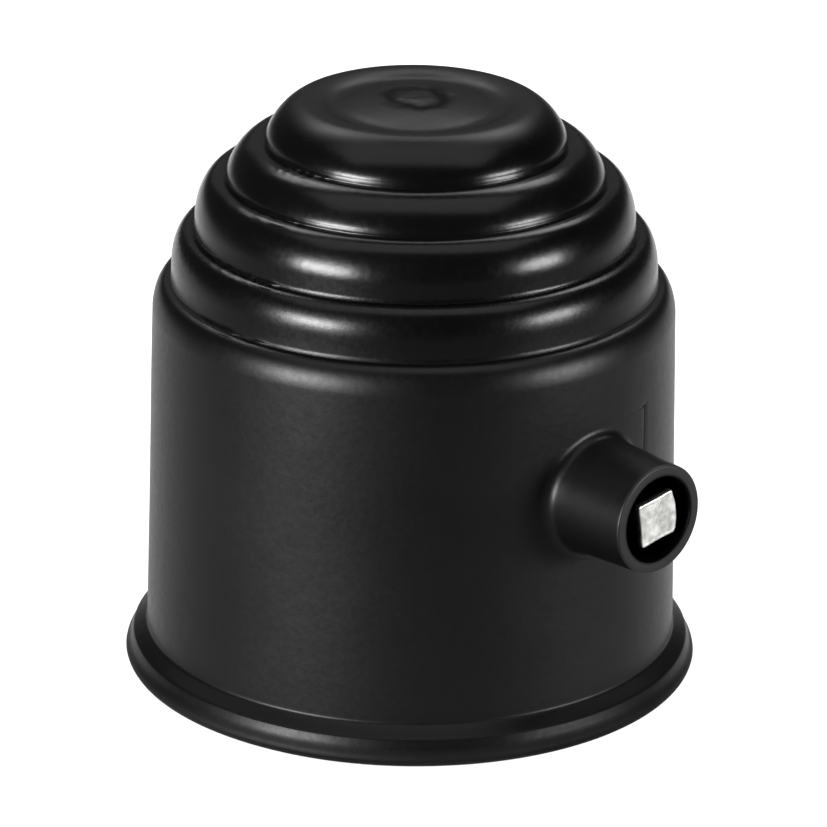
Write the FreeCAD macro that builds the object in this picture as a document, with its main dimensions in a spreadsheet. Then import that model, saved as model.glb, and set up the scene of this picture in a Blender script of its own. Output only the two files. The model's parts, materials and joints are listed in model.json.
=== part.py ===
"""Lockable cover for a 50 mm tow ball, in millimetres.

A moulded cap drops over the ball. A screw in its side boss, turned by a square socket key,
pushes a swivelling pad in under the ball's widest circle, so that the cap can't be lifted off.

Frame: origin at the centre of the rim that the cap stands on, +Z up the socket axis to the
dome, +X out along the lock screw. Lock parts are drawn about their own X axis and raised to
the boss height, so every station along X is measured from the socket axis.
"""
import FreeCAD, Part
import math
import os
import Sketcher

V = FreeCAD.Vector

# name, value, meaning: the driving dimensions, kept in the document's spreadsheet
DIMENSIONS = [
    ("socket_radius", 25.25, "socket for a 50 mm ball, with 0.25 mm to spare all round"),
    ("ball_centre", 38.0, "height of the seated ball's centre, where the socket's dome starts"),
    ("mouth_chamfer", 1.2, "lead-in at the socket's mouth"),
    ("bead_foot_radius", 31.3, "edge of the flat that the cap stands on"),
    ("bead_radius", 32.13, "widest circle of the rim bead"),
    ("bead_height", 1.7, "height of that circle"),
    ("bead_lower_round", 2.3, "rounding below it"),
    ("bead_upper_round", 2.2, "rounding above it"),
    ("bead_top_radius", 31.22, "outer end of the slope that joins bead and skirt"),
    ("bead_top_height", 3.1, ""),
    ("skirt_foot_radius", 29.64, "inner end of that slope, where the skirt starts"),
    ("skirt_foot_height", 4.3, ""),
    ("skirt_top_radius", 28.84, "skirt at the shoulder, after the mould's draft"),
    ("skirt_top_height", 42.2, ""),
    ("shoulder_round", 2.75, "rounding of the skirt's top edge"),
    ("step4_radius", 26.71, "lowest step of the dome, where its rounding ends"),
    ("step4_height", 47.84, ""),
    ("step4_round", 2.75, "rounding above that circle"),
    ("step4_band", 2.96, "height of the near-vertical band below it"),
    ("step3_radius", 24.13, "third step"),
    ("step3_height", 53.17, ""),
    ("step3_round", 3.55, ""),
    ("step3_band", 2.5, ""),
    ("step2_radius", 20.79, "second step"),
    ("step2_height", 57.32, ""),
    ("step2_round", 4.05, ""),
    ("step2_band", 0.62, ""),
    ("step1_radius", 16.56, "top step"),
    ("step1_height", 61.54, ""),
    ("step1_round", 7.4, ""),
    ("step1_band", 0.72, ""),
    ("lip_outset", 0.2, "how far each band leans out down to its lip"),
    ("groove_inset", 0.2, "undercut from the lip in to the groove"),
    ("groove_drop", 0.1, ""),
    ("rim_crest_radius", 12.3, "raised edge of the cap's crown"),
    ("rim_crest_height", 65.3, ""),
    ("crown_groove_radius", 10.4, "shallow groove round the crown"),
    ("crown_groove_height", 64.4, ""),
    ("crown_height", 65.9, "top of the whole part"),
    ("axis_height", 28.0, "height of the lock screw's axis"),
    ("boss_start", 27.0, "boss, buried in the skirt"),
    ("boss_end", 38.6, "its mouth"),
    ("boss_start_radius", 6.53, "outside radius where it starts"),
    ("boss_end_radius", 6.06, "outside radius at the mouth"),
    ("boss_edge", 0.3, "broken edge of the mouth"),
    ("boss_fillet", 0.7, "fillet between boss and skirt"),
    ("boss_bore_radius", 4.76, "bore for the insert's barrel and, outside it, the socket key"),
    ("pocket_radius", 5.5, "recess in the socket wall for the pad and the insert's flange"),
    ("flange_station", 27.9, "inner face of the insert's flange"),
    ("flange_radius", 5.4, ""),
    ("flange_thickness", 1.1, ""),
    ("barrel_end", 33.3, "outer end of the insert's barrel, which is pressed into the boss"),
    ("thread_radius", 4.0, "M8 x 1.25 thread, drawn as its outside cylinder"),
    ("thread_clearance", 0.03, "running clearance in the insert"),
    ("thread_chamfer", 0.5, ""),
    ("thread_start", 28.0, "first turn of the thread"),
    ("thread_end", 34.4, "last turn of the thread, where the square starts"),
    ("square_side", 5.0, "square end for the key"),
    ("square_end", 38.45, "end face, just inside the mouth"),
    ("square_tilt", 8.4, "degrees that the square is turned from upright with the lock open"),
    ("tip_station", 26.25, "end of the screw's button tip"),
    ("tip_radius", 2.3, ""),
    ("tip_thickness", 0.6, ""),
    ("neck_radius", 1.75, "neck between the tip and the thread"),
    ("pad_station", 25.45, "crown of the thrust pad, just clear of the ball with the lock open"),
    ("pad_edge", 26.84, "where the crown meets the pad's side"),
    ("pad_radius", 4.5, ""),
    ("pad_back", 27.8, "back face, which stops on the insert's flange"),
    ("pad_floor", 26.2, "floor of the cup for the screw's tip"),
    ("cup_radius", 2.45, ""),
    ("ring_groove_start", 26.9, "groove inside the cup for the snap ring"),
    ("ring_groove_end", 27.35, ""),
    ("ring_groove_radius", 2.95, ""),
    ("ring_gap", 0.03, "play of the snap ring along its groove"),
    ("ring_inner_radius", 1.85, ""),
    ("ring_outer_radius", 2.9, ""),
    ("ring_sweep", 325.0, "degrees of the open snap ring"),
    ("patch_station", 31.0, "nylon plug that keeps the screw from shaking loose"),
    ("patch_radius", 1.1, ""),
    ("patch_floor", 2.6, "distance of its inner end from the screw's axis"),
    ("patch_top", 3.9, "distance of its outer end, just under the thread's crest"),
]


class Measure:
    """A number together with the spreadsheet expression that drives it."""

    def __init__(self, value, text):
        self.value = value
        self.text = text

    def join(self, other, sign, value):
        return Measure(value, "(%s %s %s)" % (self.text, sign, other.text))

    def __add__(self, other):
        return self.join(other, "+", self.value + other.value)

    def __sub__(self, other):
        return self.join(other, "-", self.value - other.value)

    def __truediv__(self, number):
        return Measure(self.value / number, "(%s / %s)" % (self.text, number))

    def __neg__(self):
        return Measure(-self.value, "(-%s)" % self.text)


class Sizes:
    """The spreadsheet's cells as Measures, such as size.socket_radius."""

    def __init__(self, document):
        sheet = document.addObject("Spreadsheet::Sheet", "sizes")
        for row, (name, value, meaning) in enumerate(DIMENSIONS, start=1):
            sheet.set("A%d" % row, name)
            sheet.set("B%d" % row, str(value))
            sheet.set("C%d" % row, meaning)
            sheet.setAlias("B%d" % row, name)
            setattr(self, name, Measure(value, "sizes." + name))


doc = FreeCAD.newDocument("tow_ball_cover_lock")
size = Sizes(doc)
doc.recompute()
ZERO = Measure(0.0, "0")
H_AXIS = -1  # a sketch's own axes, as its constraints number them
V_AXIS = -2


# ---------------------------------------------------------------- helpers

def new_body(name, height=ZERO):
    """A PartDesign body whose Label names its file, raised to a height."""
    body = doc.addObject("PartDesign::Body", name)
    body.Label = name
    if height is not ZERO:
        body.setExpression(".Placement.Base.z", height.text)
    return body


def new_sketch(body, name, plane, offset=None, tilt=None):
    """A sketch on one of the body's own origin planes.

    offset maps the axes x, y, z of the sketch's plane to Measures; tilt turns it in its plane.
    """
    sketch = body.newObject("Sketcher::SketchObject", name)
    support = [item for item in body.Origin.OriginFeatures if item.Role == plane][0]
    sketch.AttachmentSupport = [(support, "")]
    sketch.MapMode = "FlatFace"
    for axis, measure in (offset or {}).items():
        sketch.setExpression(".AttachmentOffset.Base." + axis, measure.text)
    if tilt:
        sketch.setExpression(".AttachmentOffset.Rotation.Angle", tilt.text)
    return sketch


def bind(sketch, constraint, measure, label):
    """Add a driving constraint and tie it to the spreadsheet."""
    index = sketch.addConstraint(constraint)
    sketch.renameConstraint(index, label)
    sketch.setExpression("Constraints." + label, measure.text)


def place(sketch, index, end, corner, label):
    """Fix one end of a sketch edge at a corner (x, y), on an axis where the Measure is ZERO."""
    for kind, measure, own_axis in (("DistanceX", corner[0], V_AXIS),
                                    ("DistanceY", corner[1], H_AXIS)):
        if measure is ZERO:
            sketch.addConstraint(Sketcher.Constraint("PointOnObject", index, end, own_axis))
        else:
            constraint = Sketcher.Constraint(kind, -1, 1, index, end, measure.value)
            bind(sketch, constraint, measure, label + kind[-1].lower())


def arc_between(start, end, radius, turn):
    """An arc of the given radius between two points; turn is +1 anticlockwise, -1 clockwise."""
    chord = end - start
    reach = math.sqrt(radius ** 2 - (chord.Length / 2) ** 2)
    side = V(-chord.y, chord.x, 0).normalize()
    centre = (start + end) / 2 + side * reach * turn
    first, last = (start, end) if turn > 0 else (end, start)
    angles = [math.atan2(point.y - centre.y, point.x - centre.x) for point in (first, last)]
    if angles[1] < angles[0]:
        angles[1] += 2 * math.pi
    return Part.ArcOfCircle(Part.Circle(centre, V(0, 0, 1), radius), *angles)


def outline(sketch, corners, rounds=None):
    """Draw a closed outline through corners.

    rounds maps a corner's number to (radius, turn) where the edge that leaves it is an arc. In
    place of a radius, V_AXIS or H_AXIS says that the arc is centred on that axis and ends on it.
    """
    points = [V(x.value, y.value, 0) for x, y in corners]
    ends = []
    for number, start in enumerate(points):
        stop = points[(number + 1) % len(points)]
        if rounds and number in rounds:
            radius, turn = rounds[number]
            chord = stop - start
            if radius in (V_AXIS, H_AXIS):
                along = chord.y if radius == V_AXIS else chord.x
                length = chord.Length ** 2 / abs(2 * along)
                index = sketch.addGeometry(arc_between(start, stop, length, turn), False)
                sketch.addConstraint(Sketcher.Constraint("PointOnObject", index, 3, radius))
            else:
                arc = arc_between(start, stop, radius.value, turn)
                index = sketch.addGeometry(arc, False)
                bind(sketch, Sketcher.Constraint("Radius", index, radius.value), radius,
                     "round%d" % number)
            ends.append((index, 1, 2) if turn > 0 else (index, 2, 1))
        else:
            index = sketch.addGeometry(Part.LineSegment(start, stop), False)
            ends.append((index, 1, 2))
    for number, (index, head, tail) in enumerate(ends):
        before, ignored, before_tail = ends[number - 1]
        sketch.addConstraint(Sketcher.Constraint("Coincident", before, before_tail, index, head))
        place(sketch, index, head, corners[number], "corner%d" % number)


def feature(body, kind, name, sketch, **settings):
    """Add a sketch-based PartDesign feature and recompute."""
    item = body.newObject("PartDesign::" + kind, name)
    item.Profile = sketch
    for key, value in settings.items():
        if isinstance(value, Measure):
            item.setExpression(key, value.text)
        else:
            setattr(item, key, value)
    doc.recompute()
    return item


def cut(body, kind, name, sketch, **settings):
    """A Pocket or Groove that must take material away; it is turned round if it doesn't."""
    before = body.Shape.Volume
    item = feature(body, kind, name, sketch, **settings)
    if body.Shape.Volume > before - 1e-6:
        item.Reversed = not item.Reversed
        doc.recompute()
    if body.Shape.Volume > before - 1e-6:
        raise RuntimeError(name + " removes nothing")
    return item


# ---------------------------------------------------------------- cover shell

def step_corners(number):
    """Groove, lip and end of the rounding of one step of the dome, from the bottom up."""
    radius = getattr(size, "step%d_radius" % number)
    height = getattr(size, "step%d_height" % number)
    lip_radius = radius + size.lip_outset
    lip_height = height - getattr(size, "step%d_band" % number)
    groove = (lip_radius - size.groove_inset, lip_height - size.groove_drop)
    return [groove, (lip_radius, lip_height), (radius, height)]


def cover_shell():
    body = new_body("cover_shell")

    # Outline of the turned shape: rim, skirt, four steps, crown, then down inside the socket.
    corners = [
        (size.socket_radius + size.mouth_chamfer, ZERO),
        (size.bead_foot_radius, ZERO),
        (size.bead_radius, size.bead_height),
        (size.bead_top_radius, size.bead_top_height),
        (size.skirt_foot_radius, size.skirt_foot_height),
        (size.skirt_top_radius, size.skirt_top_height),
    ]
    rounds = {1: (size.bead_lower_round, 1), 2: (size.bead_upper_round, 1),
              5: (size.shoulder_round, 1)}
    for number in (4, 3, 2, 1):
        corners += step_corners(number)
        rounds[len(corners) - 1] = (getattr(size, "step%d_round" % number), 1)
    corners += [
        (size.rim_crest_radius, size.rim_crest_height),
        (size.crown_groove_radius, size.crown_groove_height),
    ]
    rounds[len(corners) - 1] = (V_AXIS, 1)
    corners.append((ZERO, size.crown_height))
    corners.append((ZERO, size.ball_centre + size.socket_radius))
    rounds[len(corners) - 1] = (V_AXIS, -1)
    corners.append((size.socket_radius, size.ball_centre))
    corners.append((size.socket_radius, size.mouth_chamfer))
    profile = new_sketch(body, "shell_profile", "XZ_Plane")
    outline(profile, corners, rounds)
    feature(body, "Revolution", "turned_shell", profile, ReferenceAxis=(profile, ["V_Axis"]))

    # Tapered boss for the lock screw, on the skirt's side.
    boss = new_sketch(body, "boss_profile", "XZ_Plane", {"y": size.axis_height})
    outline(boss, [
        (size.boss_start, ZERO),
        (size.boss_end, ZERO),
        (size.boss_end, size.boss_end_radius - size.boss_edge),
        (size.boss_end - size.boss_edge, size.boss_end_radius),
        (size.boss_start, size.boss_start_radius),
    ])
    feature(body, "Revolution", "lock_boss", boss, ReferenceAxis=(boss, ["H_Axis"]))
    fillet_boss_root(body)

    # Stepped bore: recess for the pad and flange, then the bore for the barrel and the key.
    bore = new_sketch(body, "lock_bore_profile", "XZ_Plane", {"y": size.axis_height})
    pocket_end = size.flange_station + size.flange_thickness
    bore_start = size.socket_radius - size.pad_radius
    bore_end = size.boss_end + size.mouth_chamfer
    outline(bore, [
        (bore_start, ZERO),
        (bore_end, ZERO),
        (bore_end, size.boss_bore_radius),
        (pocket_end, size.boss_bore_radius),
        (pocket_end, size.pocket_radius),
        (bore_start, size.pocket_radius),
    ])
    cut(body, "Groove", "lock_bore", bore, ReferenceAxis=(bore, ["H_Axis"]))
    return body


def fillet_boss_root(body):
    """Round the edge where the boss leaves the skirt: the one closed edge between the two."""
    tip = body.Tip
    diameter = 2 * size.boss_start_radius.value
    names = []
    for number, edge in enumerate(tip.Shape.Edges, start=1):
        box = edge.BoundBox
        near_skirt = size.boss_start.value < box.XMin and box.XMax < size.bead_top_radius.value
        if near_skirt and 0.8 * diameter < box.ZLength < 1.1 * diameter:
            names.append("Edge%d" % number)
    root = body.newObject("PartDesign::Fillet", "boss_root_fillet")
    root.Base = (tip, names)
    root.setExpression("Radius", size.boss_fillet.text)
    doc.recompute()


# ---------------------------------------------------------------- lock parts

def turned(name, corners, rounds=None, **settings):
    """A body turned about the lock screw's axis from corners (station, radius)."""
    body = new_body(name, size.axis_height)
    profile = new_sketch(body, name + "_profile", "XZ_Plane")
    outline(profile, corners, rounds)
    feature(body, "Revolution", name + "_turned", profile,
            ReferenceAxis=(profile, ["H_Axis"]), **settings)
    return body


def threaded_insert():
    """Flanged brass insert: the thread that the lock screw runs in."""
    bore = size.thread_radius + size.thread_clearance
    flange_end = size.flange_station + size.flange_thickness
    return turned("threaded_insert", [
        (size.flange_station, bore + size.thread_chamfer),
        (size.flange_station, size.flange_radius),
        (flange_end, size.flange_radius),
        (flange_end, size.boss_bore_radius),
        (size.barrel_end, size.boss_bore_radius),
        (size.barrel_end, bore + size.thread_chamfer),
        (size.barrel_end - size.thread_chamfer, bore),
        (size.flange_station + size.thread_chamfer, bore),
    ])


def lock_screw():
    """Screw with a button tip for the pad, an M8 shank and a square end for the key."""
    tip_back = size.tip_station + size.tip_thickness
    chamfered = size.thread_radius - size.thread_chamfer
    body = turned("lock_screw", [
        (size.tip_station, ZERO),
        (size.tip_station, size.tip_radius),
        (tip_back, size.tip_radius),
        (tip_back, size.neck_radius),
        (size.thread_start, size.neck_radius),
        (size.thread_start, chamfered),
        (size.thread_start + size.thread_chamfer, size.thread_radius),
        (size.thread_end - size.thread_chamfer, size.thread_radius),
        (size.thread_end, chamfered),
        (size.thread_end, ZERO),
    ])
    half = size.square_side / 2
    square = new_sketch(body, "square_profile", "YZ_Plane", {"z": size.thread_end},
                        tilt=size.square_tilt)
    outline(square, [(-half, -half), (half, -half), (half, half), (-half, half)])
    feature(body, "Pad", "key_square", square, Length=size.square_end - size.thread_end)

    # Radial hole for the nylon plug.
    hole = new_sketch(body, "patch_hole_profile", "XY_Plane", {"z": size.patch_floor})
    centre = V(size.patch_station.value, 0, 0)
    circle = hole.addGeometry(Part.Circle(centre, V(0, 0, 1), size.patch_radius.value), False)
    place(hole, circle, 3, (size.patch_station, ZERO), "centre")
    bind(hole, Sketcher.Constraint("Radius", circle, size.patch_radius.value),
         size.patch_radius, "radius")
    cut(body, "Pocket", "patch_hole", hole, Length=size.thread_radius, Reversed=True)
    return body


def thread_lock_patch():
    """Nylon plug set in the screw's flank; it drags on the insert's thread."""
    plug = doc.addObject("Part::Cylinder", "thread_lock_patch")
    plug.Label = "thread_lock_patch"
    plug.setExpression("Radius", size.patch_radius.text)
    plug.setExpression("Height", (size.patch_top - size.patch_floor).text)
    plug.setExpression(".Placement.Base.x", size.patch_station.text)
    plug.setExpression(".Placement.Base.z", (size.axis_height + size.patch_floor).text)
    return plug


def thrust_pad():
    """Crowned nylon pad that swivels on the screw's tip and bears on the ball."""
    return turned("thrust_pad", [
        (size.pad_station, ZERO),
        (size.pad_floor, ZERO),
        (size.pad_floor, size.cup_radius),
        (size.ring_groove_start, size.cup_radius),
        (size.ring_groove_start, size.ring_groove_radius),
        (size.ring_groove_end, size.ring_groove_radius),
        (size.ring_groove_end, size.cup_radius),
        (size.pad_back, size.cup_radius),
        (size.pad_back, size.pad_radius),
        (size.pad_edge, size.pad_radius),
    ], {9: (H_AXIS, 1)})


def pad_retaining_ring():
    """Open snap ring in the pad's cup; it holds the screw's tip in."""
    start = size.ring_groove_start + size.ring_gap
    end = size.ring_groove_end - size.ring_gap
    return turned("pad_retaining_ring", [
        (start, size.ring_inner_radius),
        (end, size.ring_inner_radius),
        (end, size.ring_outer_radius),
        (start, size.ring_outer_radius),
    ], Angle=size.ring_sweep)


# ---------------------------------------------------------------- build and write

def check_and_write(parts):
    """Stop on any failed object or bad shape, then write one file for each part."""
    for item in doc.Objects:
        if "Invalid" in item.State or "Error" in item.State:
            raise RuntimeError("%s failed: %s" % (item.Label, item.State))
    for item in parts:
        if item.Shape.isNull() or not item.Shape.isValid() or len(item.Shape.Solids) != 1:
            raise RuntimeError(item.Label + " isn't one valid solid")
    os.makedirs("parts", exist_ok=True)
    for item in parts:
        item.Shape.exportStep("parts/%s.step" % item.Label)
        box = item.Shape.BoundBox
        print("%-20s volume %8.1f  x %6.2f to %6.2f  y %6.2f to %6.2f  z %6.2f to %6.2f" % (
            item.Label, item.Shape.Volume, box.XMin, box.XMax, box.YMin, box.YMax,
            box.ZMin, box.ZMax))


parts = [cover_shell(), threaded_insert(), lock_screw(), thread_lock_patch(), thrust_pad(),
         pad_retaining_ring()]
doc.recompute()
check_and_write(parts)
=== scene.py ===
"""Looks of the lockable tow-ball cover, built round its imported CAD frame.

Sizes are in millimetres, in the CAD frame, and become metres when a mesh is made. A station is
a distance along +X from the socket axis; rho is a distance from the lock screw's axis.
"""
import json
import math
import bmesh
import bpy
from mathutils import Matrix, Vector, noise
from mathutils.geometry import interpolate_bezier


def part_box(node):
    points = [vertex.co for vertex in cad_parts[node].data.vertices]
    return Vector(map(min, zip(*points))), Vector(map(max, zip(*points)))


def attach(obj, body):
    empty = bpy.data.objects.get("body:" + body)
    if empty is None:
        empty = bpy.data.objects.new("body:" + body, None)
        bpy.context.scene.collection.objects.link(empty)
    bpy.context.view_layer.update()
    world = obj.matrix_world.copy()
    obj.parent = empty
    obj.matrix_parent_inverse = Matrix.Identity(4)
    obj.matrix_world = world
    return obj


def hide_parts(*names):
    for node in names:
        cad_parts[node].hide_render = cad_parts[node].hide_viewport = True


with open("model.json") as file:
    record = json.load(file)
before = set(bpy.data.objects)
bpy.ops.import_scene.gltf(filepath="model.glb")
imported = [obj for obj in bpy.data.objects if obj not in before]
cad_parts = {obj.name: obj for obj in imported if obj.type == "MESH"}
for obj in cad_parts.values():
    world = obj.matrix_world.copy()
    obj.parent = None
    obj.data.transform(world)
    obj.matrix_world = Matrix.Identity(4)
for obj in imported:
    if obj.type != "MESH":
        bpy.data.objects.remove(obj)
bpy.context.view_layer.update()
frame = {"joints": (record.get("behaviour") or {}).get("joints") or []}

MM = 0.001
TAU = 2 * math.pi


def corner(node, high):
    """A corner of a CAD node's box, in millimetres."""
    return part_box(node)[1 if high else 0] / MM


def hinge_height():
    """Height of the lock screw's axis, from its joint."""
    return [joint["pos_m"][2] / MM for joint in frame["joints"] if joint["name"] == "screw_turn"][0]


# ---------------------------------------------------------------- sizes from the frame

SHELL_HIGH = corner("cover_shell", True)
CROWN_TOP = SHELL_HIGH.z
BEAD_RADIUS = SHELL_HIGH.y
BOSS_END = SHELL_HIGH.x
AXIS_HEIGHT = hinge_height()
FLANGE_STATION = corner("threaded_insert", False).x
BARREL_END = corner("threaded_insert", True).x
FLANGE_RADIUS = corner("threaded_insert", True).y
SCREW_TIP = corner("lock_screw", False).x
SCREW_END = corner("lock_screw", True).x
THREAD_RADIUS = corner("lock_screw", True).y
PAD_CROWN = corner("thrust_pad", False).x
PAD_BACK = corner("thrust_pad", True).x
PAD_RADIUS = corner("thrust_pad", True).y

# ---------------------------------------------------------------- sizes of the shell

SOCKET_RADIUS = 25.25
SOCKET_DOME = 38.0  # height where the socket's wall ends and its dome starts
MOUTH_CHAMFER = 1.2
BEAD_HEIGHT = 1.0
BEAD_FOOT = 31.3
SKIRT_FOOT = (29.64, 4.3)
SKIRT_TOP = (28.86, 41.7)
# Each bulge of the dome, top first, then the shoulder: radius and height where it runs out into
# its band, height of the band, slope of its normal at the top, and how full it is at both ends.
BULGES = [
    (16.43, 61.24, 0.58, 70.0, 0.31, 0.24),
    (20.72, 57.15, 0.5, 112.0, 0.5, 0.15),
    (24.18, 52.6, 2.0, 114.0, 0.525, 0.24),
    (26.76, 47.25, 2.42, 111.0, 0.5, 0.35),
    (*SKIRT_TOP, 0.0, 107.0, 0.49, 0.22),
]
BAND_OUTSET = 0.12  # how far a band leans out down to its valley
BAND_LEAN = 3.0  # slope in degrees of a bulge where it runs out into its band
VALLEY_ROUND = 0.3
CROWN_GROOVE = (9.0, 64.5)  # radius and height of the dish round the crown's domed centre
CREST = [(11.0, 65.3, 4.0), (12.6, 65.3, 3.4), (13.15, 65.1)]  # radius, height, rounding
GATE_RADIUS = 2.9  # of the sunk ring round the gate mark
PARTING_ANGLE = 91.0  # degrees from the boss to the mould's parting plane

BOSS_TAPER = (27.0, 6.53, BOSS_END, 6.06)  # station and rho at its two ends
BOSS_FILLET = 1.0
MOUTH_ROUND = 0.42  # rounding of the outer edge of the boss's end
BORE_RADIUS = 4.76
POCKET_RADIUS = 5.5
POCKET_END = 29.0
POCKET_ROUND = 0.3

PITCH = 1.25
THREAD_ROOT = 3.25
THREAD_START = 28.0
THREAD_END = 34.4
NECK_RADIUS = 1.75
SQUARE_SIDE = 5.0
SQUARE_TILT = math.radians(8.4)
PLUG_STATION = 31.0
PLUG_RADIUS = 1.1
PLUG_FLOOR = 2.6
CUP_RADIUS = 2.45
PLUG_TOP = 3.9  # rho of its domed end
TIP_RADIUS = 2.3
TIP_LENGTH = 0.6
PAD_SHOULDER = 26.84  # station where the pad's crown meets its side
CUP_FLOOR = 26.2
RING_GROOVE = (26.9, 27.35)  # stations of the groove in the pad's cup
RING_GROOVE_RADIUS = 2.95
RING_STATIONS = (26.93, 27.32)
RING_RADII = (1.86, 2.89)
RING_START = 90.0  # degrees
RING_SWEEP = 325.0

COLUMNS = 384  # round the socket axis
WINDOW_COLUMNS = 23  # half width of the opening left for the boss, in columns
WINDOW_HEIGHT = 11.0  # half height of it
WINDOW_ROWS = 44
WITNESS = (8.5, 7.65)  # half width and half height of the mould insert's witness line
COLUMN_ANGLE = TAU / COLUMNS


# ---------------------------------------------------------------- mesh helpers

class Skin:
    """A mesh under construction from rings of vertices joined by quads."""

    def __init__(self):
        self.points = []
        self.faces = []

    def ring(self, points):
        """Add vertices and return their numbers; None leaves a place empty."""
        numbers = []
        for point in points:
            if point is None:
                numbers.append(None)
            else:
                numbers.append(len(self.points))
                self.points.append(Vector(point))
        return numbers

    def join(self, first, second):
        """Quads between two closed rings, left out where a corner is missing."""
        count = len(first)
        for here in range(count):
            after = (here + 1) % count
            quad = (first[here], first[after], second[after], second[here])
            if None not in quad:
                self.faces.append(quad)

    def chain(self, rings):
        for first, second in zip(rings, rings[1:]):
            self.join(first, second)

    def fan(self, ring, point):
        """Triangles from a closed ring to one point."""
        tip = self.ring([point])[0]
        for here, number in enumerate(ring):
            self.faces.append((number, ring[(here + 1) % len(ring)], tip))

    def make(self, name):
        """The finished object, in metres, with its faces turned outwards."""
        mesh = bpy.data.meshes.new(name)
        mesh.from_pydata([point * MM for point in self.points], [], self.faces)
        tidy = bmesh.new()
        tidy.from_mesh(mesh)
        bmesh.ops.recalc_face_normals(tidy, faces=tidy.faces)
        tidy.to_mesh(mesh)
        tidy.free()
        mesh.shade_smooth()
        shape = bpy.data.objects.new(name, mesh)
        bpy.context.scene.collection.objects.link(shape)
        return shape


def line(start, end, step):
    """Points after start, up to and with end, no further apart than step."""
    start, end = Vector(start), Vector(end)
    count = max(1, math.ceil((end - start).length / step))
    return [start.lerp(end, number / count) for number in range(1, count + 1)]


def arc(start, end, radius, turn, step):
    """Points after start on an arc to end; turn is +1 anticlockwise, -1 clockwise."""
    start, end = Vector(start), Vector(end)
    chord = end - start
    reach = math.sqrt(max(0.0, radius ** 2 - chord.length_squared / 4))
    centre = (start + end) / 2 + Vector((-chord.y, chord.x)).normalized() * reach * turn
    sweep = 2 * math.asin(min(1.0, chord.length / 2 / radius)) * turn
    count = max(1, math.ceil(abs(sweep) * radius / step))
    spoke = start - centre
    return [centre + Matrix.Rotation(sweep * number / count, 2) @ spoke
            for number in range(1, count + 1)]


def blunted(corners, step):
    """A path through corners (u, v, rounding), each inner corner rounded, divided by step."""
    spots = [Vector(item[:2]) for item in corners]
    path = [spots[0]]
    for number in range(1, len(spots) - 1):
        here = spots[number]
        back = (spots[number - 1] - here).normalized()
        ahead = (spots[number + 1] - here).normalized()
        half = back.angle(ahead) / 2
        reach = corners[number][2] / math.tan(half)
        reach = min(reach, 0.48 * (spots[number - 1] - here).length,
                    0.48 * (spots[number + 1] - here).length)
        radius = reach * math.tan(half)
        turn = 1 if back.x * ahead.y - back.y * ahead.x < 0 else -1
        path += line(path[-1], here + back * reach, step)
        path += arc(path[-1], here + ahead * reach, radius, turn, max(radius / 4, 0.03))
    path += line(path[-1], spots[-1], step)
    return path


def smooth(edge0, edge1, value):
    """0 below edge0, 1 above edge1 and a smooth rise between; the edges may be swapped."""
    share = min(1.0, max(0.0, (value - edge0) / (edge1 - edge0)))
    return share * share * (3 - 2 * share)


# ---------------------------------------------------------------- cover shell

def skirt_radius(height):
    """Outside radius of the plain skirt, which narrows upwards by the mould's draft."""
    share = (height - SKIRT_FOOT[1]) / (SKIRT_TOP[1] - SKIRT_FOOT[1])
    return SKIRT_FOOT[0] + (SKIRT_TOP[0] - SKIRT_FOOT[0]) * share


def wall_rows(radius_at):
    """Rows of the boss's opening, from its top edge down, on a wall of given radius."""
    heights = [AXIS_HEIGHT + WINDOW_HEIGHT * (1 - 2 * row / WINDOW_ROWS)
               for row in range(WINDOW_ROWS + 1)]
    return [Vector((radius_at(height), height)) for height in heights]


def outside_profile():
    """(radius, height) points from near the crown's centre down to the foot of the skirt."""
    path = [Vector((0.25, CROWN_TOP - 0.01))]
    flat = (CROWN_TOP - CROWN_GROOVE[1])
    centre = (CROWN_GROOVE[0] ** 2 + flat ** 2) / (2 * flat)  # radius of the domed centre
    edge = 7.5  # where the domed centre runs into the dish
    path += arc(path[-1], (edge, CROWN_TOP - edge ** 2 / 2 / centre), centre, -1, 0.2)
    path += blunted([path[-1], (*CROWN_GROOVE, 4.0), *CREST], 0.15)[1:]
    above = path[-1]
    for radius, height, band, lean, full_above, full_below in BULGES:
        bulge = swell(above, (radius, height), lean, full_above, full_below)
        if above is path[-1]:
            path += bulge
        else:
            valley = path.pop()
            bulge = [point for point in bulge if point.x > valley.x + 0.3]
            path += blunted([path[-1], (*valley, VALLEY_ROUND), bulge[0]], 0.15)[1:]
            path += bulge[1:]
        valley = Vector((radius + BAND_OUTSET, height - band))
        above = valley - Vector((0.3, 0.1))  # the next bulge starts behind the valley
        if band:
            path += line(path[-1], valley + Vector((-0.04, 0.3)), 0.25)
            path += [valley + Vector((-0.01, 0.22)), valley + Vector((0.03, 0.12)), valley]
    path += line(path[-1], (skirt_radius(40.0), 40.0), 0.4)
    return path


def swell(start, end, lean, full_above, full_below):
    """Points after start on a bulge to end; lean is the slope of its normal at start."""
    start, end = Vector(start), Vector(end)
    span = (end - start).length
    lean, upright = math.radians(lean), math.radians(BAND_LEAN)
    above = start + Vector((math.sin(lean), -math.cos(lean))) * full_above * span
    below = end - Vector((math.sin(upright), -math.cos(upright))) * full_below * span
    return interpolate_bezier(start, above, below, end, 28)[1:]


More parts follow.
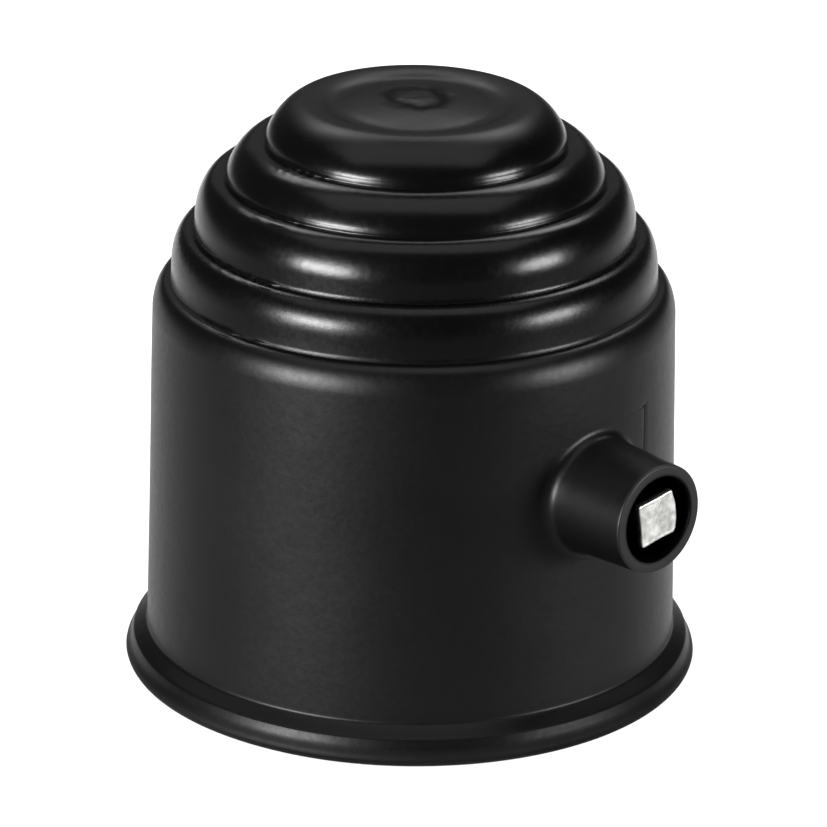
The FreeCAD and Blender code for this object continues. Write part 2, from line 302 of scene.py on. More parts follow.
def foot_profile(start):
    """From the skirt's foot round the rim bead to the socket's mouth."""
    path = blunted([start, (*SKIRT_FOOT, 0.5), (31.27, 3.12, 0.4), (31.6, 2.1, 1.5),
                    (32.04, 1.4, 0.6), (BEAD_RADIUS, BEAD_HEIGHT)], 0.3)[1:]
    path += arc(path[-1], (BEAD_FOOT, 0.05), 1.3, -1, 0.12)
    mouth = SOCKET_RADIUS + MOUTH_CHAMFER
    path += blunted([path[-1], (BEAD_FOOT - 0.2, 0.0, 0.1), (mouth, 0.0, 0.25),
                     (SOCKET_RADIUS, MOUTH_CHAMFER, 0.4), (SOCKET_RADIUS, 6.0)], 0.5)[1:]
    return path


def socket_dome():
    """The socket's domed end, up to near its centre."""
    count = 48
    angles = [math.pi / 2 * number / count for number in range(1, count)]
    return [Vector((SOCKET_RADIUS * math.cos(angle), SOCKET_DOME + SOCKET_RADIUS * math.sin(angle)))
            for angle in angles]


def spun(point):
    """A ring round the socket axis through a profile point."""
    return [(point.x * math.cos(column * COLUMN_ANGLE), point.x * math.sin(column * COLUMN_ANGLE),
             point.y) for column in range(COLUMNS)]


def window_ring(point, row):
    """A ring that leaves out what lies inside the boss's opening."""
    ring = spun(point)
    if 0 < row < WINDOW_ROWS:
        for column in range(1 - WINDOW_COLUMNS, WINDOW_COLUMNS):
            ring[column] = None
    return ring


def window_edge(rings):
    """The opening's edge as one closed loop, and each point's place across and up it, -1 to 1."""
    loop, places = [], []
    wide, high = WINDOW_COLUMNS, WINDOW_ROWS
    sides = [(column, high) for column in range(-wide, wide)]
    sides += [(wide, row) for row in range(high, 0, -1)]
    sides += [(column, 0) for column in range(wide, -wide, -1)]
    sides += [(-wide, row) for row in range(high)]
    for column, row in sides:
        loop.append(rings[row][column])
        places.append((column / wide, 1 - 2 * row / high))
    return loop, places


def window_rings(skin, points):
    """All rows of a wall across its opening, which stays free of faces."""
    rings = [skin.ring(window_ring(point, row)) for row, point in enumerate(points)]
    skin.chain(rings)
    return rings


def on_wall(across, up, radius_at, proud=0.0):
    """A point on a turned wall, given how far it is across (+Y) and above the screw's axis."""
    height = AXIS_HEIGHT + up
    radius = radius_at(height)
    station = math.sqrt(radius ** 2 - across ** 2)
    scale = (radius + proud) / radius
    return (station * scale, across * scale, height)


def boss_rho(station):
    """Radius of the boss's tapered outside at a station."""
    start, start_rho, end, end_rho = BOSS_TAPER
    return start_rho + (end_rho - start_rho) * (station - start) / (end - start)


def circle_place(place, rho):
    """How far across and up a circle about the screw's axis is, towards a place on the edge."""
    angle = math.atan2(place[1] * WINDOW_HEIGHT,
                       place[0] * SOCKET_RADIUS * math.sin(WINDOW_COLUMNS * COLUMN_ANGLE) * 1.15)
    return rho * math.cos(angle), rho * math.sin(angle)


def witness_place(place, grow):
    """A point of the witness line's rectangle, measured along the skirt."""
    radius = skirt_radius(AXIS_HEIGHT)
    angle = place[0] * (WITNESS[0] + grow) / radius
    return radius * math.sin(angle), place[1] * (WITNESS[1] + grow)


def witness_depth(place):
    """The witness line is plain on the far side, faint along the top and worn off elsewhere."""
    side = smooth(0.9, 1.0, place[0]) * smooth(-0.5, 0.3, place[1])
    return side + 0.12 * smooth(0.9, 1.0, place[1]) * smooth(0.0, 0.6, place[0])


def boss_loops(places):
    """Loops from the opening's edge in the skirt, over the boss and in through its bore."""
    loops = []
    for grow, proud in ((1.0, 0.0), (0.2, 0.0), (0.1, -0.03), (0.05, -0.1), (-0.05, -0.1),
                        (-0.1, -0.03), (-0.2, 0.0)):
        loops.append([on_wall(*witness_place(place, grow), skirt_radius,
                              proud * witness_depth(place)) for place in places])
    root = boss_rho(skirt_radius(AXIS_HEIGHT))
    for share in (0.15, 0.32, 0.5, 0.68, 0.85, 1.0):
        loop = []
        for place in places:
            edge = witness_place(place, -0.2)
            round_ = circle_place(place, root + BOSS_FILLET)
            loop.append(on_wall(edge[0] + (round_[0] - edge[0]) * share,
                                edge[1] + (round_[1] - edge[1]) * share, skirt_radius))
        loops.append(loop)
    count = 7
    for number in range(1, count + 1):
        angle = math.pi / 2 * number / count
        rho = root + BOSS_FILLET * (1 - math.sin(angle))
        loop = []
        for place in places:
            across, up = circle_place(place, rho)
            station = on_wall(across, up, skirt_radius)[0]
            loop.append((station + BOSS_FILLET * (1 - math.cos(angle)), across, AXIS_HEIGHT + up))
        loops.append(loop)
    last = loops[-1]
    side_end = BOSS_END - MOUTH_ROUND
    count = 18
    for number in range(1, count + 1):
        loop = []
        for place, before in zip(places, last):
            station = before[0] + (side_end - before[0]) * number / count
            across, up = circle_place(place, boss_rho(station))
            loop.append((station, across, AXIS_HEIGHT + up))
        loops.append(loop)
    mouth = blunted([
        (side_end, boss_rho(side_end)),
        (BOSS_END, boss_rho(BOSS_END), MOUTH_ROUND),
        (BOSS_END, BORE_RADIUS, 0.22),
        (POCKET_END, BORE_RADIUS, 0.05),
        (POCKET_END, POCKET_RADIUS, 0.08),
        (SOCKET_RADIUS + 0.4, POCKET_RADIUS),
    ], 0.45)[1:]
    for station, rho in mouth:
        loop = []
        for place in places:
            across, up = circle_place(place, rho)
            loop.append((station, across, AXIS_HEIGHT + up))
        loops.append(loop)
    return loops


def pocket_loops(places):
    """Loops from the pocket's wall, round its edge and out over the socket's wall."""
    loops = []
    for number in range(5):
        angle = math.pi / 2 * number / 4
        rho = POCKET_RADIUS + POCKET_ROUND * (1 - math.cos(angle))
        loop = []
        for place in places:
            across, up = circle_place(place, rho)
            station = on_wall(across, up, socket_wall)[0]
            station += POCKET_ROUND * (1 - math.sin(angle))
            loop.append((station, across, AXIS_HEIGHT + up))
        loops.append(loop)
    for share in (0.2, 0.4, 0.6, 0.8):
        loop = []
        for place in places:
            edge = (SOCKET_RADIUS * math.sin(place[0] * WINDOW_COLUMNS * COLUMN_ANGLE),
                    place[1] * WINDOW_HEIGHT)
            across, up = circle_place(place, POCKET_RADIUS + POCKET_ROUND)
            loop.append(on_wall(across + (edge[0] - across) * share,
                                up + (edge[1] - up) * share, socket_wall))
        loops.append(loop)
    return loops


def socket_wall(height):
    """Inside radius of the socket, the same at every height below its dome."""
    return SOCKET_RADIUS


def crown_relief(point):
    """Sunk gate mark and flow lines on the crown, as a change of height."""
    reach = math.hypot(point.x, point.y)
    if reach > CROWN_GROOVE[0]:
        return 0.0
    wobble = noise.noise(Vector((point.x * 0.5, point.y * 0.5, 3.1)))
    grain = noise.noise(Vector((point.x * 1.4, point.y * 1.4, 7.7)))
    edge = reach + 0.7 * wobble
    dimple = -0.24 * smooth(4.6, GATE_RADIUS, edge)
    dimple += 0.2 * smooth(GATE_RADIUS, 1.3, edge + 0.4 * grain)
    mottle = 0.05 * grain * smooth(3.6, 2.2, reach)
    swirl = noise.noise(Vector((point.x * 0.35 + 0.8 * wobble, point.y * 0.35, 1.3)))
    flow = 0.006 * math.sin(14.0 * swirl) * smooth(3.4, 4.6, reach) * smooth(8.6, 7.0, reach)
    return dimple + mottle + flow


def lip_flash(point):
    """Ragged flash that the mould left on the steps' lips, near its parting plane."""
    height = point.z
    for bulge in BULGES[:4]:
        lip = bulge[1] - bulge[2] + 0.1
        if abs(height - lip) > 0.25:
            continue
        angle = math.degrees(math.atan2(point.y, point.x))
        near = smooth(17.0, 6.0, abs(abs(angle) - PARTING_ANGLE))
        ragged = noise.noise(Vector((math.radians(angle) * 26, lip, 0.5)))
        fine = noise.noise(Vector((math.radians(angle) * 90, lip, 4.5)))
        rows = smooth(0.3, 0.05, abs(height - lip))
        return rows * (0.015 * fine + near * max(0.0, 0.04 + 0.3 * ragged + 0.14 * fine))
    return 0.0


def moulded(point):
    """A point of the outer surface with the small unevenness of a moulding.

    The boss's end is never pushed out, as it sets the part's size.
    """
    reach = math.hypot(point.x, point.y)
    if reach < 1e-6:
        return point
    if point.z > CROWN_GROOVE[1] - 0.2 and reach < CROWN_GROOVE[0]:
        point.z += crown_relief(point)
        return point
    wave = noise.noise(point * 0.07) * 0.04 + noise.noise(point * 0.3) * 0.01
    change = wave + lip_flash(point) - 0.05 * smooth(5.0, 3.0, point.z)
    if point.x > BOSS_END - 2.0:
        change = min(change, 0.0)
    return Vector((point.x * (1 + change / reach), point.y * (1 + change / reach), point.z))


def cover_shell():
    """The rubber moulding as one closed mesh."""
    skin = Skin()
    outside = [skin.ring(spun(point)) for point in outside_profile()]
    skin.chain(outside)
    skirt_rows = wall_rows(skirt_radius)
    upper = [skin.ring(spun(point)) for point in
             line((skirt_radius(40.0), 40.0), skirt_rows[0], 0.8)[:-1]]
    skin.chain([outside[-1]] + upper)
    window = window_rings(skin, skirt_rows)
    skin.join(upper[-1], window[0])
    foot = [skin.ring(spun(point)) for point in foot_profile(skirt_rows[-1])]
    skin.chain([window[-1]] + foot)
    edge, places = window_edge(window)

    loops = [skin.ring(loop) for loop in boss_loops(places)]
    skin.chain([edge] + loops)
    boss_count = len(skin.points)

    socket_rows = wall_rows(socket_wall)[::-1]
    lower = [skin.ring(spun(point)) for point in
             line((SOCKET_RADIUS, 6.0), socket_rows[0], 1.0)[:-1]]
    skin.chain([foot[-1]] + lower)
    inner = window_rings(skin, socket_rows)
    skin.join(lower[-1], inner[0])
    pocket = [skin.ring(loop) for loop in pocket_loops(places)]
    skin.chain([loops[-1]] + pocket)
    inner_edge = window_edge(inner[::-1])[0]
    skin.join(pocket[-1], inner_edge)
    dome = [skin.ring(spun(point)) for point in socket_dome()]
    skin.chain([inner[-1]] + dome)
    skin.fan(dome[-1], (0, 0, SOCKET_DOME + SOCKET_RADIUS))
    skin.fan(outside[0], (0, 0, CROWN_TOP))
    top = len(skin.points) - 1
    for number in list(range(boss_count)) + [top]:
        skin.points[number] = moulded(skin.points[number])
    return skin.make("moulded_cover")


# ---------------------------------------------------------------- lock parts, turned about X

class Turned:
    """A mesh of loops about the lock screw's axis. A loop is a station and a rho for each spoke."""

    def __init__(self, spokes, tilt=0.0):
        self.skin = Skin()
        self.angles = [TAU * spoke / spokes + tilt for spoke in range(spokes)]
        self.rings = []

    def loop(self, station, rho):
        """Add a loop; station and rho are numbers or functions of the spoke's angle."""
        points = []
        for angle in self.angles:
            here = station(angle) if callable(station) else station
            reach = rho(angle) if callable(rho) else rho
            points.append((here, reach * math.cos(angle), AXIS_HEIGHT + reach * math.sin(angle)))
        self.rings.append(self.skin.ring(points))

    def path(self, spots):
        for station, rho in spots:
            self.loop(station, rho)

    def solid(self, name):
        """Close both ends on the axis."""
        self.skin.chain(self.rings)
        for ring in (self.rings[0], self.rings[-1]):
            station = sum(self.skin.points[number].x for number in ring) / len(ring)
            self.skin.fan(ring, (station, 0.0, AXIS_HEIGHT))
        return self.skin.make(name)

    def tube(self, name):
        """Join the last loop to the first."""
        self.skin.chain(self.rings + self.rings[:1])
        return self.skin.make(name)


def thread_form(station, angle):
    """Height of the M8 thread, 0 at its root and 1 at its crest, on a right-hand helix."""
    turn = (station / PITCH - angle / TAU) % 1.0
    return smooth(0.06, 0.44, turn) * smooth(0.94, 0.56, turn)


def screw_rho(station, angle):
    """The screw's threaded flank, with run-outs at its ends and a blind hole for the nylon plug."""
    rho = THREAD_ROOT + (THREAD_RADIUS - THREAD_ROOT) * thread_form(station, angle)
    rho = min(rho, THREAD_ROOT + 0.1 + (station - THREAD_START) * 1.2,
              THREAD_ROOT + 0.1 + (THREAD_END - station) * 1.4)
    across = rho * math.cos(angle)
    if math.sin(angle) > 0 and math.hypot(across, station - PLUG_STATION) < PLUG_RADIUS + 0.06:
        rho = PLUG_FLOOR / max(0.5, math.sin(angle))
    return rho


def square_rho(half):
    """Outline of the square end: sides a little bowed, corners broken, one of them clipped."""
    def rho(angle):
        turn = angle - SQUARE_TILT
        across, up = abs(math.cos(turn)), abs(math.sin(turn))
        reach = half / (across ** 34 + up ** 34) ** (1 / 34)
        bow = 0.36 * smooth(0.72, 1.0, math.cos(turn)) - 0.05 * smooth(0.8, 1.0, max(across, up))
        clipped = math.cos(angle - math.radians(-37.0))
        if clipped > 0.9:
            reach = min(reach, (half + 0.8) / clipped)
        return reach + bow
    return rho


def lock_screw():
    """Button tip, neck, M8 x 1.25 thread and the square end for the key."""
    lathe = Turned(192, SQUARE_TILT)
    button = SCREW_TIP + TIP_LENGTH
    tip = blunted([(SCREW_TIP, 0.3), (SCREW_TIP, TIP_RADIUS, 0.2), (button, TIP_RADIUS, 0.12),
                   (button + 0.05, NECK_RADIUS, 0.1), (THREAD_START, NECK_RADIUS, 0.15),
                   (THREAD_START, THREAD_ROOT)], 0.3)
    lathe.loop(SCREW_TIP + 0.04, 0.1)
    lathe.path(tip[:-1])
    count = 128
    for row in range(count + 1):
        station = THREAD_START + 0.01 + (THREAD_END - THREAD_START - 0.02) * row / count
        lathe.loop(station, lambda angle, at=station: screw_rho(at, angle))
    half = SQUARE_SIDE / 2
    face = SCREW_END - 0.02
    for station, grow in ((THREAD_END, 0.08), (THREAD_END + 0.25, 0.02), (THREAD_END + 0.6, 0.0),
                          (THREAD_END + 1.6, 0.0), (THREAD_END + 2.8, 0.0),
                          (SCREW_END - 0.3, 0.0), (SCREW_END - 0.12, 0.0),
                          (SCREW_END - 0.06, -0.03), (face, -0.1)):
        lathe.loop(station, square_rho(half + grow))
    for share in (0.9, 0.8, 0.66, 0.5, 0.34, 0.18, 0.06):
        reach = square_rho(half * share)
        lathe.loop(lambda angle, reach=reach: face + cut_face(angle, reach(angle)), reach)
    return lathe.solid("bright_screw")


def cut_face(angle, reach):
    """Unevenness of the sawn end, never proud of it."""
    spot = Vector((reach * math.cos(angle) * 1.1, reach * math.sin(angle) * 1.1, 5.0))
    return -0.02 + 0.02 * noise.noise(spot)


def knurl(station, angle):
    """Crossed helical cuts of the insert's barrel, 0 at their floor and 1 at their ridges."""
    first = abs(math.sin(24 * angle + station * 3.4))
    second = abs(math.sin(24 * angle - station * 3.4))
    return min(first, second) ** 0.7


def threaded_insert():
    """Flanged insert: threaded bore, knurled barrel with a plain lead, turned flange."""
    lathe = Turned(192)
    inner = THREAD_RADIUS + 0.03
    barrel = BORE_RADIUS - 0.02
    flange = FLANGE_RADIUS - 0.02
    count = 84
    lathe.loop(FLANGE_STATION, inner + 0.35)
    for row in range(count + 1):
        station = FLANGE_STATION + 0.02 + (BARREL_END - FLANGE_STATION - 0.04) * row / count
        mouth = max(0.0, 0.33 - 0.9 * min(station - FLANGE_STATION, BARREL_END - station))
        lathe.loop(station, lambda angle, at=station, mouth=mouth:
                   inner + max(mouth, 0.38 * (1 - thread_form(at, angle))))
    lathe.loop(BARREL_END, inner + 0.35)
    lathe.loop(BARREL_END, BORE_RADIUS - 0.16)
    lathe.loop(BARREL_END - 0.12, BORE_RADIUS - 0.04)
    count = 36
    for row in range(count + 1):
        station = BARREL_END - 0.4 - (BARREL_END - POCKET_END - 0.75) * row / count
        edge = smooth(0, 2, row) * smooth(count, count - 2, row)
        lathe.loop(station, lambda angle, at=station, edge=edge:
                   barrel - edge * 0.2 * (1 - knurl(at, angle)))
    lathe.path(blunted([(POCKET_END + 0.3, barrel), (POCKET_END + 0.02, barrel, 0.05),
                        (POCKET_END, flange, 0.12), (FLANGE_STATION, flange, 0.15),
                        (FLANGE_STATION, inner + 0.5)], 0.25))
    return lathe.tube("brass_insert")


def thrust_pad():
    """Crowned swivel pad: cup, groove for the snap ring, sunk gate mark on its crown."""
    lathe = Turned(96)
    side = PAD_RADIUS - 0.02
    rise = PAD_SHOULDER - PAD_CROWN
    crown = (PAD_RADIUS ** 2 + rise ** 2) / (2 * rise)
    spots = []
    for share in (0.02, 0.08, 0.14, 0.17, 0.2, 0.26, 0.36, 0.48, 0.6, 0.72, 0.84, 0.93):
        rho = share * PAD_RADIUS
        gate = 0.05 * smooth(0.19, 0.16, share)
        spots.append((PAD_CROWN + crown - math.sqrt(crown ** 2 - rho ** 2) + gate, rho))
    near, far = RING_GROOVE
    spots += blunted([spots[-1], (PAD_SHOULDER, side, 0.3), (PAD_BACK, side, 0.25),
                      (PAD_BACK, CUP_RADIUS, 0.2), (far, CUP_RADIUS, 0.05),
                      (far, RING_GROOVE_RADIUS, 0.06), (near, RING_GROOVE_RADIUS, 0.06),
                      (near, CUP_RADIUS, 0.05), (CUP_FLOOR, CUP_RADIUS, 0.2),
                      (CUP_FLOOR, 0.2)], 0.25)[1:]
    lathe.path(spots)
    return lathe.solid("nylon_pad")


def snap_ring():
    """Open ring of flattened spring wire with cut ends."""
    skin = Skin()
    near, far = RING_STATIONS
    inner, outer = RING_RADII
    middle, thick, reach = (near + far) / 2, (far - near) / 2, (inner + outer) / 2
    section = blunted([(middle, inner), (middle + thick, inner, 0.12),
                       (middle + thick, outer, 0.12), (middle - thick, outer, 0.12),
                       (middle - thick, inner, 0.12), (middle, inner)], 0.12)[:-1]
    count = 150
    rings = []
    for number in range(count + 1):
        angle = math.radians(RING_START + RING_SWEEP * number / count)
        shrink = 0.15 if number in (0, count) else 0.0
        points = []
        for station, rho in section:
            rho += (reach - rho) * shrink
            station += (middle - station) * shrink
            points.append((station, rho * math.cos(angle), AXIS_HEIGHT + rho * math.sin(angle)))
        rings.append(skin.ring(points))
    skin.chain(rings)
    for number in (0, count):
        angle = math.radians(RING_START + RING_SWEEP * number / count)
        skin.fan(rings[number], (middle, reach * math.cos(angle),
                                 AXIS_HEIGHT + reach * math.sin(angle)))
    return skin.make("spring_ring")


def nylon_plug():
    """Plug in the screw's flank: a moulded cylinder with a domed, worn end."""
    skin = Skin()
    spots = blunted([(0.1, PLUG_FLOOR), (PLUG_RADIUS, PLUG_FLOOR, 0.1), (PLUG_RADIUS, 3.72, 0.15),
                     (0.5, PLUG_TOP, 0.6), (0.1, PLUG_TOP)], 0.12)
    rings = []
    for rho, height in spots:
        ring = []
        for number in range(48):
            angle = TAU * number / 48
            along, across = rho * math.cos(angle), rho * math.sin(angle)
            worn = 0.02 * noise.noise(Vector((along, across, height)))
            ring.append((PLUG_STATION + along, across,
                         AXIS_HEIGHT + height - (0.02 + worn if height > 3.7 else 0.0)))
        rings.append(skin.ring(ring))
    skin.chain(rings)
    skin.fan(rings[0], (PLUG_STATION, 0, AXIS_HEIGHT + PLUG_FLOOR))
    skin.fan(rings[-1], (PLUG_STATION, 0, AXIS_HEIGHT + PLUG_TOP - 0.02))
    return skin.make("thread_plug")


# ---------------------------------------------------------------- materials

class Nodes:
    """A short way to write a material's nodes."""

    def __init__(self, name):
        self.material = bpy.data.materials.new(name)
        self.material.use_nodes = True
        self.tree = self.material.node_tree
        self.shader = self.tree.nodes["Principled BSDF"]
        self.place = self.add("ShaderNodeTexCoord").outputs["Object"]

    def add(self, kind, **settings):
        node = self.tree.nodes.new(kind)
        for key, value in settings.items():
            setattr(node, key, value)
        return node

    def link(self, source, target):
        self.tree.links.new(source, target)

    def noise(self, scale, detail=4.0, rough=0.55, stretch=None):
        """Noise in object space; scale is in features per metre."""
        node = self.add("ShaderNodeTexNoise")
        node.inputs["Scale"].default_value = scale
        node.inputs["Detail"].default_value = detail
        node.inputs["Roughness"].default_value = rough
        source = self.place
        if stretch:
            mapping = self.add("ShaderNodeMapping")
            mapping.inputs["Scale"].default_value = stretch
            self.link(source, mapping.inputs["Vector"])
            source = mapping.outputs["Vector"]
        self.link(source, node.inputs["Vector"])
        return node.outputs["Fac"]

    def remap(self, source, low, high, to_low, to_high):
        node = self.add("ShaderNodeMapRange")
        for name, value in (("From Min", low), ("From Max", high),
                            ("To Min", to_low), ("To Max", to_high)):
            node.inputs[name].default_value = value
        self.link(source, node.inputs["Value"])
        return node.outputs["Result"]

    def maths(self, operation, first, second):
        node = self.add("ShaderNodeMath", operation=operation)
        for socket, value in zip(node.inputs, (first, second)):
            if isinstance(value, (int, float)):
                socket.default_value = value
            else:
                self.link(value, socket)
        return node.outputs["Value"]

    def ramp(self, source, stops):
        """Colours at places from 0 to 1 along a value."""
        node = self.add("ShaderNodeValToRGB")
        band = node.color_ramp
        while len(band.elements) < len(stops):
            band.elements.new(0.5)
        for element, (position, colour) in zip(band.elements, stops):
            element.position = position
            element.color = (*colour, 1.0)
        self.link(source, node.inputs["Fac"])
        return node.outputs["Color"]

    def bump(self, heights):
        """Bumps (source, depth in millimetres) one on another, into the shader's normal."""
        before = None
        for source, depth in heights:
            node = self.add("ShaderNodeBump")
            node.inputs["Distance"].default_value = depth * MM
            self.link(source, node.inputs["Height"])
            if before:
                self.link(before, node.inputs["Normal"])
            before = node.outputs["Normal"]
        self.link(before, self.shader.inputs["Normal"])

    def set(self, **values):
        for key, value in values.items():
            self.shader.inputs[key.replace("_", " ")].default_value = value


def along(nodes, axis, low, high, to_low, to_high):
    """A value that goes from to_low to to_high between two places along X, Y or Z."""
    split = nodes.add("ShaderNodeSeparateXYZ")
    nodes.link(nodes.place, split.inputs["Vector"])
    return nodes.remap(split.outputs[axis], low * MM, high * MM, to_low, to_high)


def height_of(nodes, *limits):
    """A value that changes with the height above the rim."""
    return along(nodes, "Z", *limits)


def station_of(nodes, *limits):
    """A value that changes with the distance out along the lock screw."""
    return along(nodes, "X", *limits)


def reach_of(nodes, scale, offset=(0.0, 0.0, 0.0)):
    """Distance in metres from an axis; scale drops the coordinate along it."""
    mapping = nodes.add("ShaderNodeMapping")
    mapping.inputs["Location"].default_value = offset
    mapping.inputs["Scale"].default_value = scale
    nodes.link(nodes.place, mapping.inputs["Vector"])
    reach = nodes.add("ShaderNodeVectorMath", operation="LENGTH")
    nodes.link(mapping.outputs["Vector"], reach.inputs[0])
    return reach.outputs["Value"]


def bore_mask(nodes):
    """1 on the wall of the boss's bore, which is matt with old grease, and 0 elsewhere."""
    reach = reach_of(nodes, (0.0, 1.0, 1.0), (0.0, 0.0, -AXIS_HEIGHT * MM))
    near = nodes.remap(reach, (BORE_RADIUS + 0.1) * MM, (BORE_RADIUS + 0.4) * MM, 1.0, 0.0)
    return nodes.maths("MULTIPLY", near, station_of(nodes, POCKET_END, POCKET_END + 0.5, 0.0, 1.0))


def gate_mask(nodes):
    """A factor on shine, low on the torn ring round the gate mark and 1 elsewhere."""
    ragged = nodes.remap(nodes.noise(420.0, 3.0), 0.3, 0.7, -0.9 * MM, 0.9 * MM)
    edge = nodes.maths("ADD", reach_of(nodes, (1.0, 1.0, 0.0)), ragged)
    inside = nodes.remap(edge, 1.3 * MM, 2.6 * MM, 1.1, 0.3)
    outside = nodes.remap(edge, 2.8 * MM, 4.6 * MM, 0.0, 1.0)
    ring = nodes.maths("MINIMUM", nodes.maths("MAXIMUM", inside, outside), 1.0)
    return nodes.maths("MAXIMUM", ring, height_of(nodes, 63.5, 64.0, 1.0, 0.0))


def rubber():
    """Black moulded rubber: satin skirt with a fine grain, glossier steps, duller crown and rim."""
    nodes = Nodes("moulded_rubber")
    cloud = nodes.noise(60.0, 3.0)
    speck = nodes.noise(1500.0, 5.0, 0.7)
    tint = nodes.ramp(cloud, [(0.3, (0.0004, 0.0004, 0.0005)), (0.7, (0.0009, 0.0008, 0.0008))])
    nodes.link(tint, nodes.shader.inputs["Base Color"])
    rough = height_of(nodes, 43.5, 46.5, 0.38, 0.262)  # from the skirt to the steps
    for change in (height_of(nodes, 50.0, 54.0, 0.0, -0.038),  # upper steps
                   height_of(nodes, 63.3, 64.6, 0.0, 0.14),  # crown
                   height_of(nodes, 1.4, 2.2, 0.2, 0.0),  # rim
                   station_of(nodes, 29.0, 31.0, 0.0, 0.06),  # boss
                   nodes.remap(cloud, 0.3, 0.7, -0.012, 0.016),
                   nodes.remap(speck, 0.3, 0.75, -0.03, 0.05)):
        rough = nodes.maths("ADD", rough, change)
    nodes.link(rough, nodes.shader.inputs["Roughness"])
    shine = nodes.remap(bore_mask(nodes), 0.0, 1.0, 0.085, 0.015)
    for factor in (gate_mask(nodes), height_of(nodes, 3.6, 4.6, 0.72, 1.0),  # gate, bead
                   station_of(nodes, 29.8, 31.0, 1.0, 0.72),  # boss
                   station_of(nodes, 38.2, 38.5, 1.0, 2.5)):  # the boss's end
        shine = nodes.maths("MULTIPLY", shine, factor)
    nodes.link(shine, nodes.shader.inputs["Specular IOR Level"])
    grain = nodes.maths("MULTIPLY", nodes.noise(700.0, 3.0),
                        height_of(nodes, 41.5, 45.0, 1.0, 0.55))  # fainter on the steps
    nodes.bump([(grain, 0.022), (speck, 0.01)])
    return nodes.material


def turned_metal(name, inner, outer, start, end):
    """Machined metal with tool marks; its colour goes from inner to outer between two stations."""
    nodes = Nodes(name)
    cloud = nodes.noise(900.0, 5.0, 0.65)
    marks = nodes.noise(1500.0, 2.0, 0.5, (1.0, 0.12, 0.12))
    share = station_of(nodes, start, end, 0.0, 1.0)
    grade = nodes.ramp(share, [(0.0, inner), (1.0, outer)])
    stain = nodes.ramp(cloud, [(0.32, (0.78, 0.78, 0.77)), (0.62, (1.0, 1.0, 1.0))])
    mix = nodes.add("ShaderNodeMix", data_type="RGBA", blend_type="MULTIPLY")
    mix.inputs["Factor"].default_value = 1.0
    nodes.link(grade, mix.inputs["A"])
    nodes.link(stain, mix.inputs["B"])
    nodes.link(mix.outputs["Result"], nodes.shader.inputs["Base Color"])
    nodes.link(nodes.remap(cloud, 0.3, 0.7, 0.28, 0.46), nodes.shader.inputs["Roughness"])
    nodes.set(Metallic=1.0)
    nodes.bump([(marks, 0.006), (cloud, 0.008)])
    return nodes.material


def nylon(name, colour):
    """Moulded nylon, slightly waxy, with a fine flow texture."""
    nodes = Nodes(name)
    cloud = nodes.noise(500.0, 4.0)
    dark = tuple(0.82 * value for value in colour)
    nodes.link(nodes.ramp(cloud, [(0.3, dark), (0.7, colour)]), nodes.shader.inputs["Base Color"])
    nodes.link(nodes.remap(cloud, 0.3, 0.7, 0.36, 0.52), nodes.shader.inputs["Roughness"])
    nodes.bump([(nodes.noise(1800.0, 3.0), 0.008)])
    return nodes.material


# ---------------------------------------------------------------- studio

CAMERA_AZIMUTH = math.radians(46.96)
CAMERA_ELEVATION = math.radians(21.57)
CAMERA_DISTANCE = 0.58
CAMERA_TARGET = Vector((0.0, 0.0, 0.0319))
CAMERA_DROP = 3.06  # how far the camera aims below its target
CAMERA_ROLL = math.radians(0.774)
LENS = 227.17
LENS_SHIFT = 0.001
WORLD_STRENGTH = 0.07
# name, azimuth and elevation in degrees, distance and size in metres, radiance
PART_LAMPS = [
    ("left_softbox", -47.0, 5.5, 1.2, (0.56, 0.22), 190.0),
    ("right_softbox", 67.0, 5.5, 1.2, (0.46, 0.22), 96.0),
    ("left_back_softbox", -142.0, 50.0, 1.2, (0.4, 0.4), 13.0),
    ("right_back_softbox", 142.0, 50.0, 1.2, (0.4, 0.4), 13.0),
    ("high_back_softbox", 180.0, 52.0, 1.2, (0.9, 0.4), 5.5),
    ("top_softbox", 0.0, 76.0, 1.2, (2.2, 0.9), 3.6),
    ("back_wall", 180.0, 22.0, 1.6, (1.4, 0.6), 0.2),
]
FLOOR_LAMP = ("floor_softbox", 180.0, 58.0, 0.47, (0.5, 0.5), 6.0)
CONTACT_LAMP = ("contact_softbox", 180.0, 80.0, 1.0, (1.0, 1.0), 0.3)


def direction(azimuth, elevation):
    """Unit vector from the object; azimuth is in degrees to the right of the camera."""
    turn = math.radians(azimuth) + CAMERA_AZIMUTH
    rise = math.radians(elevation)
    level = math.cos(rise)
    return Vector((math.sin(turn) * level, -math.cos(turn) * level, math.sin(rise)))


def looking(back):
    """Rotation of a camera or lamp whose own +Z points back along a direction."""
    return back.to_track_quat("Z", "Y")


def camera():
    """A long lens at the product shot's angle."""
    lens = bpy.data.cameras.new("view")
    lens.lens = LENS
    lens.sensor_width = 36.0
    lens.clip_start = 0.01
    lens.shift_x = LENS_SHIFT
    shape = bpy.data.objects.new("view", lens)
    back = direction(0.0, math.degrees(CAMERA_ELEVATION))
    turn = looking(back)
    up = turn @ Vector((0, 1, 0))
    shape.rotation_mode = "QUATERNION"
    shape.rotation_quaternion = turn @ Matrix.Rotation(CAMERA_ROLL, 3, "Z").to_quaternion()
    shape.location = CAMERA_TARGET - up * CAMERA_DROP * MM + back * CAMERA_DISTANCE
    bpy.context.scene.collection.objects.link(shape)
    bpy.context.scene.camera = shape


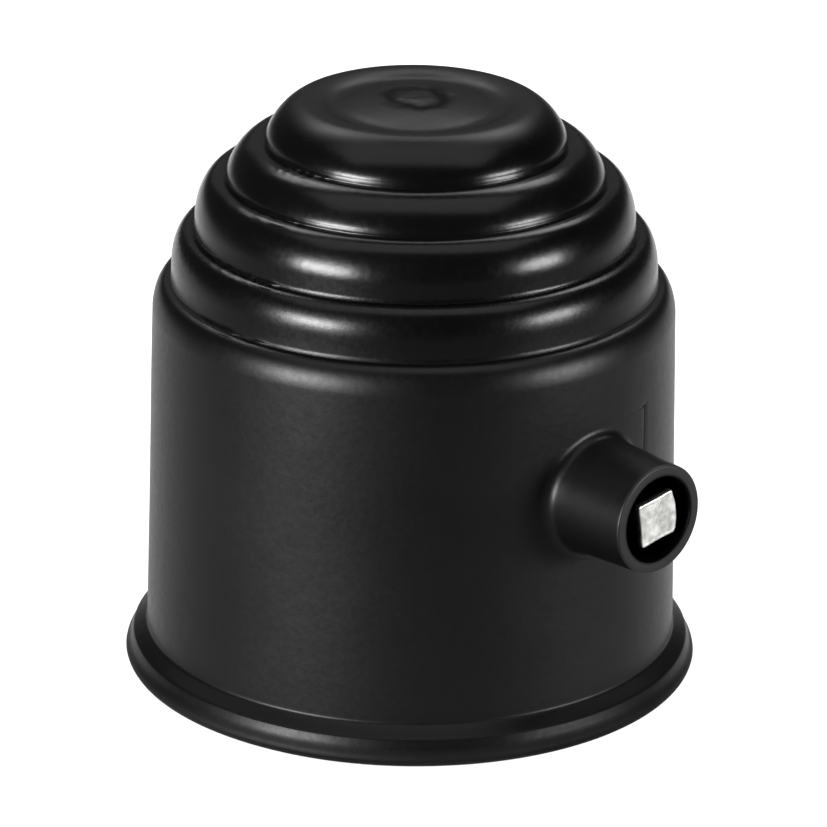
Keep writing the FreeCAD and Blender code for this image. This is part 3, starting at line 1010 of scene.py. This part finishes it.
def softbox(name, azimuth, elevation, distance, size, radiance, lit=None, unlit=None, clear=()):
    """A lamp aimed at the part. It lights only lit, or all but unlit; clear cast no shadow."""
    lamp = bpy.data.lights.new(name, "AREA")
    lamp.shape = "RECTANGLE"
    lamp.size, lamp.size_y = size
    lamp.energy = radiance * math.pi * size[0] * size[1]
    shape = bpy.data.objects.new(name, lamp)
    group = bpy.data.collections.new(name + "_receivers")
    group.objects.link(lit or unlit)
    group.collection_objects[0].light_linking.link_state = "INCLUDE" if lit else "EXCLUDE"
    shape.light_linking.receiver_collection = group
    if clear:
        group = bpy.data.collections.new(name + "_blockers")
        for number, piece in enumerate(clear):
            group.objects.link(piece)
            group.collection_objects[number].light_linking.link_state = "EXCLUDE"
        shape.light_linking.blocker_collection = group
    back = direction(azimuth, elevation)
    shape.rotation_mode = "QUATERNION"
    shape.rotation_quaternion = looking(back)
    shape.location = CAMERA_TARGET + back * distance
    bpy.context.scene.collection.objects.link(shape)


def studio(pieces):
    """Pale round floor, faint world light, softboxes for the part and lamps for the floor."""
    skin = Skin()
    sides, reach, level = 96, 3000, -0.1
    rim = skin.ring([(math.cos(turn * TAU / sides) * reach, math.sin(turn * TAU / sides) * reach,
                      level) for turn in range(sides)])
    skin.fan(rim, (0, 0, level))
    floor = skin.make("floor")
    nodes = Nodes("floor_paint")
    paint = nodes.ramp(nodes.noise(4.0), [(0.0, (0.86, 0.86, 0.86)), (1.0, (0.88, 0.88, 0.88))])
    nodes.link(paint, nodes.shader.inputs["Base Color"])
    nodes.set(Roughness=0.8, Specular_IOR_Level=0.1)
    floor.data.materials.append(nodes.material)
    world = bpy.data.worlds.new("studio")
    world.use_nodes = True
    backdrop = world.node_tree.nodes["Background"]
    backdrop.inputs["Color"].default_value = (1.0, 1.0, 1.0, 1.0)
    backdrop.inputs["Strength"].default_value = WORLD_STRENGTH
    bpy.context.scene.world = world
    for lamp in PART_LAMPS:
        softbox(*lamp, unlit=floor)
    softbox(*FLOOR_LAMP, lit=floor, clear=pieces)
    softbox(*CONTACT_LAMP, lit=floor)
    bpy.context.scene.view_settings.view_transform = "Standard"


# ---------------------------------------------------------------- the whole

def clothe(shape, material, slot_name, body, *nodes):
    """Give a finished mesh its material, its body and the CAD nodes it stands for; slot_name is not
    used.
    """
    shape.data.materials.append(material)
    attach(shape, body)
    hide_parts(*nodes)
    return shape


BRASS, DARK_BRASS = (0.62, 0.42, 0.16), (0.05, 0.035, 0.015)
BLACK_STEEL, BRIGHT_STEEL = (0.012, 0.012, 0.012), (0.37, 0.37, 0.36)
SPRING_STEEL = (0.42, 0.42, 0.43)
BLUE, WHITE = (0.02, 0.09, 0.36), (0.7, 0.68, 0.6)

pieces = [
    clothe(cover_shell(), rubber(), "shell_rubber", "cover", "cover_shell"),
    clothe(threaded_insert(), turned_metal("cut_brass", BRASS, DARK_BRASS, 32.6, 33.0),
           "insert_brass", "cover", "threaded_insert"),
    clothe(lock_screw(), turned_metal("screw_alloy", BLACK_STEEL, BRIGHT_STEEL, 37.6, 38.1),
           "screw_alloy", "screw", "lock_screw"),
    clothe(nylon_plug(), nylon("blue_nylon", BLUE), "patch_nylon", "screw", "thread_lock_patch"),
    clothe(thrust_pad(), nylon("white_nylon", WHITE), "pad_nylon", "pad", "thrust_pad"),
    clothe(snap_ring(), turned_metal("spring_steel", SPRING_STEEL, SPRING_STEEL, 20.0, 40.0),
           "ring_steel", "pad", "pad_retaining_ring"),
]
camera()
studio(pieces)
